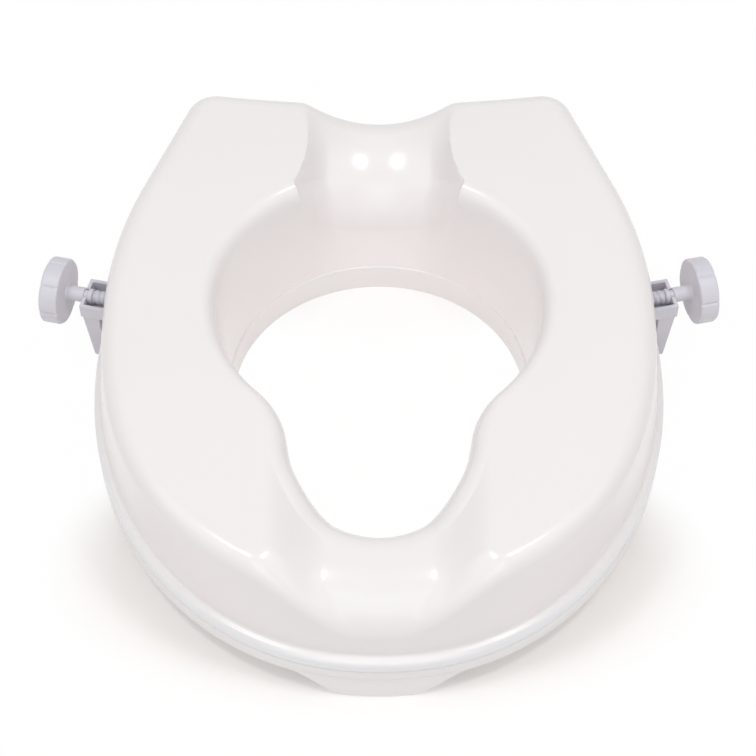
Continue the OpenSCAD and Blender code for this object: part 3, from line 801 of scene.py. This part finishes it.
# moulded pieces whose solids only need their edges softened

softEdges = {
    "bracket": 0.45, "pad": 0.25, "guide": 0.35, "nut": 0.3, "segments": 3,
    "weldReach": 1e-6, "flatAngle": 1, "edgeAngle": 30, "sharpAngle": 35,
}


def softenedPiece(node, name, body, width, material):
    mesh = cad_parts[node].data.copy()
    mesh.name = name
    form = bmesh.new()
    form.from_mesh(mesh)
    bmesh.ops.remove_doubles(form, verts=form.verts, dist=softEdges["weldReach"])
    flat = math.radians(softEdges["flatAngle"])
    bmesh.ops.dissolve_limit(form, angle_limit=flat, verts=form.verts, edges=form.edges)
    form.to_mesh(mesh)
    form.free()
    mesh.materials.clear()
    mesh.materials.append(material)
    piece = addObject(name, mesh)
    bevel = piece.modifiers.new("softEdges", "BEVEL")
    bevel.width = width * mm
    bevel.segments = softEdges["segments"]
    bevel.limit_method = "ANGLE"
    bevel.angle_limit = math.radians(softEdges["edgeAngle"])
    bevel.harden_normals = True
    smoothFaces(piece, softEdges["sharpAngle"])
    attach(piece, body)
    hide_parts(node)


for side in sides:
    screwPiece(side)
    knobPiece(side)
    softenedPiece(side + "_bracket", side + "JawBracket", side + "_jaw",
                  softEdges["bracket"], clampGrey)
    softenedPiece(side + "_jaw_pad", side + "JawPad", side + "_jaw",
                  softEdges["pad"], padRubber)
    softenedPiece(side + "_guide", side + "JawGuide", "seat",
                  softEdges["guide"], baseWhite)
    softenedPiece(side + "_nut", side + "ScrewNut", "seat",
                  softEdges["nut"], nutSteel)
    print(side, "clamp made")


# floor

floorLook = {  # in metres, with ovals given as centre and half sizes
    # the ovals shape the painted white glow below, which decides where the floor's real shade shows
    "half": 4.0, "cells": 8, "colour": (0.99, 0.94, 0.905), "white": (0.2, 0.98),
    "frontOval": ((0.0, -0.12, 0.0), (0.2, 0.105, 1)), "frontRun": (0.82, 1.12),
    "openingOval": ((0.0, 0.016, 0.0), (0.192, 0.233, 1)), "openingRun": (0.68, 0.9),
    "rearOval": ((0.0, 0.135, 0.0), (0.14, 0.09, 1)), "rearRun": (0.45, 0.95), "rearWhite": 0.72,
}


def seenDirectly(tree):  # 1 for camera, mirror and see-through rays
    rays = tree.nodes.new("ShaderNodeLightPath")
    seen = linkMath(tree, "MAXIMUM", rays.outputs["Is Camera Ray"], rays.outputs["Is Glossy Ray"])
    return linkMath(tree, "MAXIMUM", seen, rays.outputs["Is Transmission Ray"])


def ovalShare(tree, oval, run, inside, outside):  # one share inside the oval, another outside it
    centre, size = floorLook[oval]
    coords = tree.nodes.new("ShaderNodeTexCoord")
    away = linkVector(tree, "SUBTRACT", coords.outputs["Object"], centre)
    scaled = linkVector(tree, "DIVIDE", away.outputs[0], size)
    reach = linkVector(tree, "LENGTH", scaled.outputs[0])
    return linkRange(tree, reach.outputs["Value"], inside, outside, *floorLook[run], "SMOOTHSTEP")


def paleFloor():
    form = bmesh.new()
    cells = floorLook["cells"]
    bmesh.ops.create_grid(form, x_segments=cells, y_segments=cells, size=floorLook["half"])
    mesh = bpy.data.meshes.new("paleFloor")
    form.to_mesh(mesh)
    form.free()
    floor = addObject("paleFloor", mesh)
    material = bpy.data.materials.new("paleFloor")
    material.use_nodes = True
    tree = material.node_tree
    tree.nodes.remove(tree.nodes["Principled BSDF"])
    matt = tree.nodes.new("ShaderNodeBsdfDiffuse")
    matt.inputs["Color"].default_value = (*floorLook["colour"], 1)
    glow = tree.nodes.new("ShaderNodeEmission")
    # painted light: a white glow, seen only directly, hides the floor's shade but is weak round the seat's
    # front, where its real shade shows; it stays strong in the opening but for a little grey at its rear
    low, high = floorLook["white"]
    front = ovalShare(tree, "frontOval", "frontRun", low, high)
    opening = ovalShare(tree, "openingOval", "openingRun", high, low)
    rear = ovalShare(tree, "rearOval", "rearRun", floorLook["rearWhite"], 1)
    white = linkMath(tree, "MINIMUM", linkMath(tree, "MAXIMUM", front, opening), rear)
    share = linkMath(tree, "MULTIPLY", seenDirectly(tree), white)
    linkShaders(tree, share, matt, glow, "Material Output")
    mesh.materials.append(material)


# light and camera

worldLook = {"light": 0.45, "colour": (0.95, 0.98, 1.0)}
lampAim = (0, 0, 0.08)
lampSets = {
    "lamp": {"places": ((-0.66, -0.15, 1.9), (0.66, -0.15, 1.9)), "size": 0.4, "power": 7.0,
             "shape": "DISK", "colour": (1.0, 0.98, 0.965)},
    "sideFill": {"places": ((-1.6, -0.5, 1.5), (1.6, -0.5, 1.5)), "size": 1.2, "power": 3.2,
                 "shape": "SQUARE", "colour": (1.0, 0.96, 0.95)},
    "frontFill": {"places": ((0, -1.8, 1.6),), "size": 1.6, "power": 9.2,
                  "shape": "SQUARE", "colour": (0.86, 0.94, 1.0)},
}
photoView = {"place": (0.0, -0.7936, 1.0395), "tilt": 38.5, "lens": 90.48, "sensor": 36, "shiftX": -0.0013}


def whiteWorld():  # white where it is seen, softer where it only lights
    world = bpy.data.worlds.new("whiteWorld")
    world.use_nodes = True
    tree = world.node_tree
    lit = tree.nodes["Background"]
    lit.inputs["Color"].default_value = (*worldLook["colour"], 1)
    lit.inputs["Strength"].default_value = worldLook["light"]
    seen = tree.nodes.new("ShaderNodeBackground")
    seen.inputs["Color"].default_value = (1, 1, 1, 1)
    linkShaders(tree, seenDirectly(tree), lit, seen, "World Output")
    bpy.context.scene.world = world


def areaLamp(name, place, look):
    data = bpy.data.lights.new(name, "AREA")
    data.shape = look["shape"]
    data.size = look["size"]
    data.energy = look["power"]
    data.color = look["colour"]
    lamp = addObject(name, data)
    lamp.location = place
    lamp.rotation_euler = (Vector(lampAim) - Vector(place)).to_track_quat("-Z", "Y").to_euler()


def photoCamera():
    data = bpy.data.cameras.new("photoCamera")
    data.sensor_width = photoView["sensor"]
    data.lens = photoView["lens"]
    data.shift_x = photoView["shiftX"]
    camera = addObject("photoCamera", data)
    camera.location = photoView["place"]
    camera.rotation_euler = (math.radians(photoView["tilt"]), 0, 0)
    bpy.context.scene.camera = camera


paleFloor()
whiteWorld()
for name, look in lampSets.items():
    for number, place in enumerate(look["places"]):
        areaLamp(name + str(number), place, look)
photoCamera()
bpy.context.scene.view_settings.view_transform = "Standard"
print("studio set")
